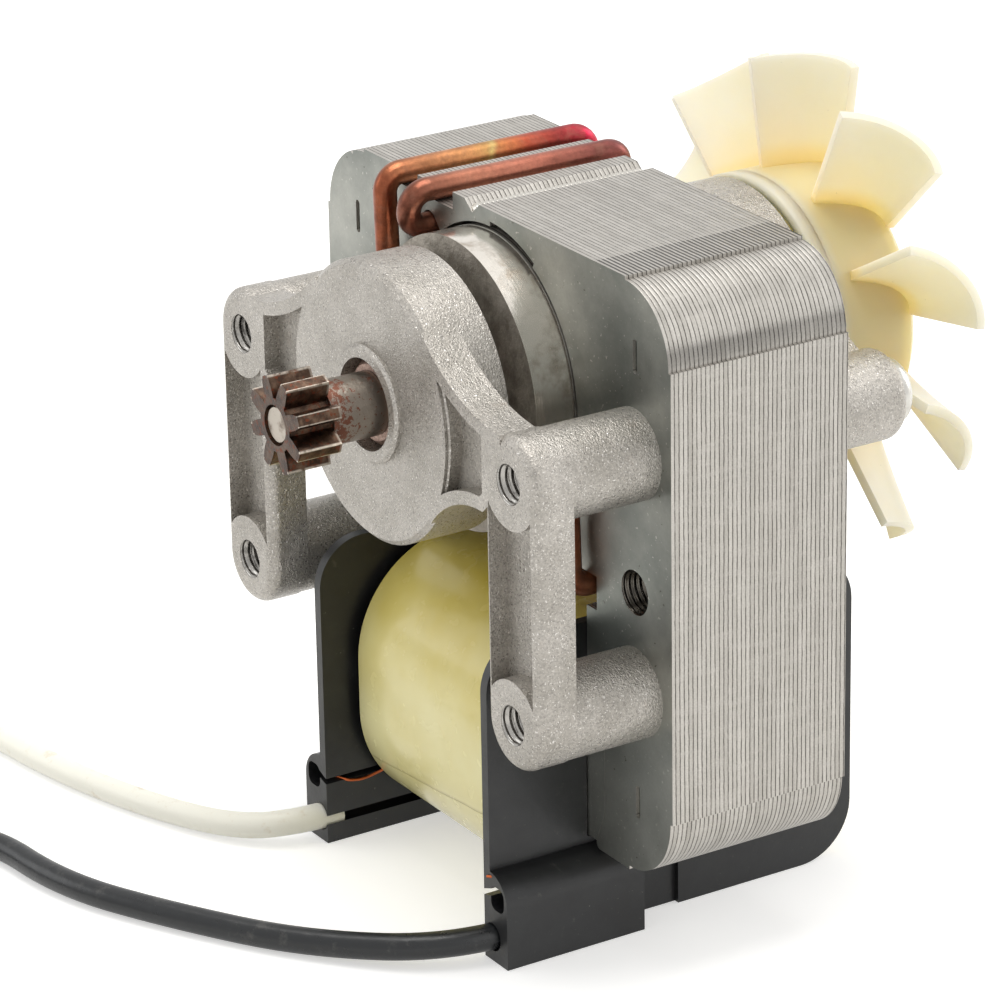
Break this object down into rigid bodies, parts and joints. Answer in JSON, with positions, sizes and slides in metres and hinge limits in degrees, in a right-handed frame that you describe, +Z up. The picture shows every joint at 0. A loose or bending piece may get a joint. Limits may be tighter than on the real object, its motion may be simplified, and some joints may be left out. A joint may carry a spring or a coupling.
{
  "type": "shaded pole motor",
  "caption": "Small shaded pole motor with a taped coil on a moulded bobbin, a die-cast face bracket with mounting bars, a pinion on its shaft, a rear fan and two free leads.",
  "frame": {"origin": "centre of the four mounting holes on the front mounting face", "axes": "+X right seen from the pinion, +Y along the shaft from the pinion to the fan, +Z up"},
  "size_m": [0.1136, 0.1175, 0.0785],
  "materials": {
    "lamination_steel": "blued laminations with bright cut edges",
    "bobbin_plastic": "satin moulded",
    "winding_copper": "enamelled wire",
    "yellow_tape": "glossy polyester tape",
    "ring_copper": "bare copper with heat tint",
    "cast_metal": "as die-cast, sparkling grain",
    "sintered_bronze": "oiled sintered bronze",
    "oil_felt": "oiled felt",
    "spring_steel": "bright strip",
    "zinc_steel": "bright zinc plate",
    "white_insulation": "soft extruded plastic",
    "black_insulation": "satin extruded plastic",
    "tinned_copper": "tinned strands",
    "bright_steel": "ground steel",
    "cage_aluminium": "turned cast aluminium",
    "pinion_steel": "brown oxidised with bright worn edges",
    "cream_nylon": "natural translucent nylon"
  },
  "bodies": {
    "stator": {"stator_stack": "lamination_steel", "core_limb": "lamination_steel", "bobbin": "bobbin_plastic", "coil_winding": "winding_copper", "coil_tape": "yellow_tape", "shading_ring_upper_outer": "ring_copper", "shading_ring_upper_inner": "ring_copper", "shading_ring_lower_outer": "ring_copper", "shading_ring_lower_inner": "ring_copper", "front_bracket": "cast_metal", "rear_bracket": "cast_metal", "front_bearing": "sintered_bronze", "rear_bearing": "sintered_bronze", "front_felt": "oil_felt", "rear_felt": "oil_felt", "front_retainer": "spring_steel", "rear_retainer": "spring_steel", "screw_upper_left": "zinc_steel", "screw_upper_right": "zinc_steel", "screw_lower_left": "zinc_steel", "screw_lower_right": "zinc_steel", "lead_white": "white_insulation", "lead_black": "black_insulation", "lead_white_end": "tinned_copper", "lead_black_end": "tinned_copper"},
    "rotor": {"shaft": "bright_steel", "rotor_core": "lamination_steel", "rotor_cage": "cage_aluminium", "pinion": "pinion_steel", "fan": "cream_nylon", "front_thrust_washer": "spring_steel", "rear_thrust_washer": "spring_steel", "front_spacer": "bright_steel", "rear_spacer": "bright_steel"}
  },
  "joints": [
    {"name": "rotor_spin", "type": "hinge", "parent": "stator", "child": "rotor", "pos_m": [0, 0.0215, 0.0124], "axis": [0, 1, 0], "continuous": true}
  ]
}
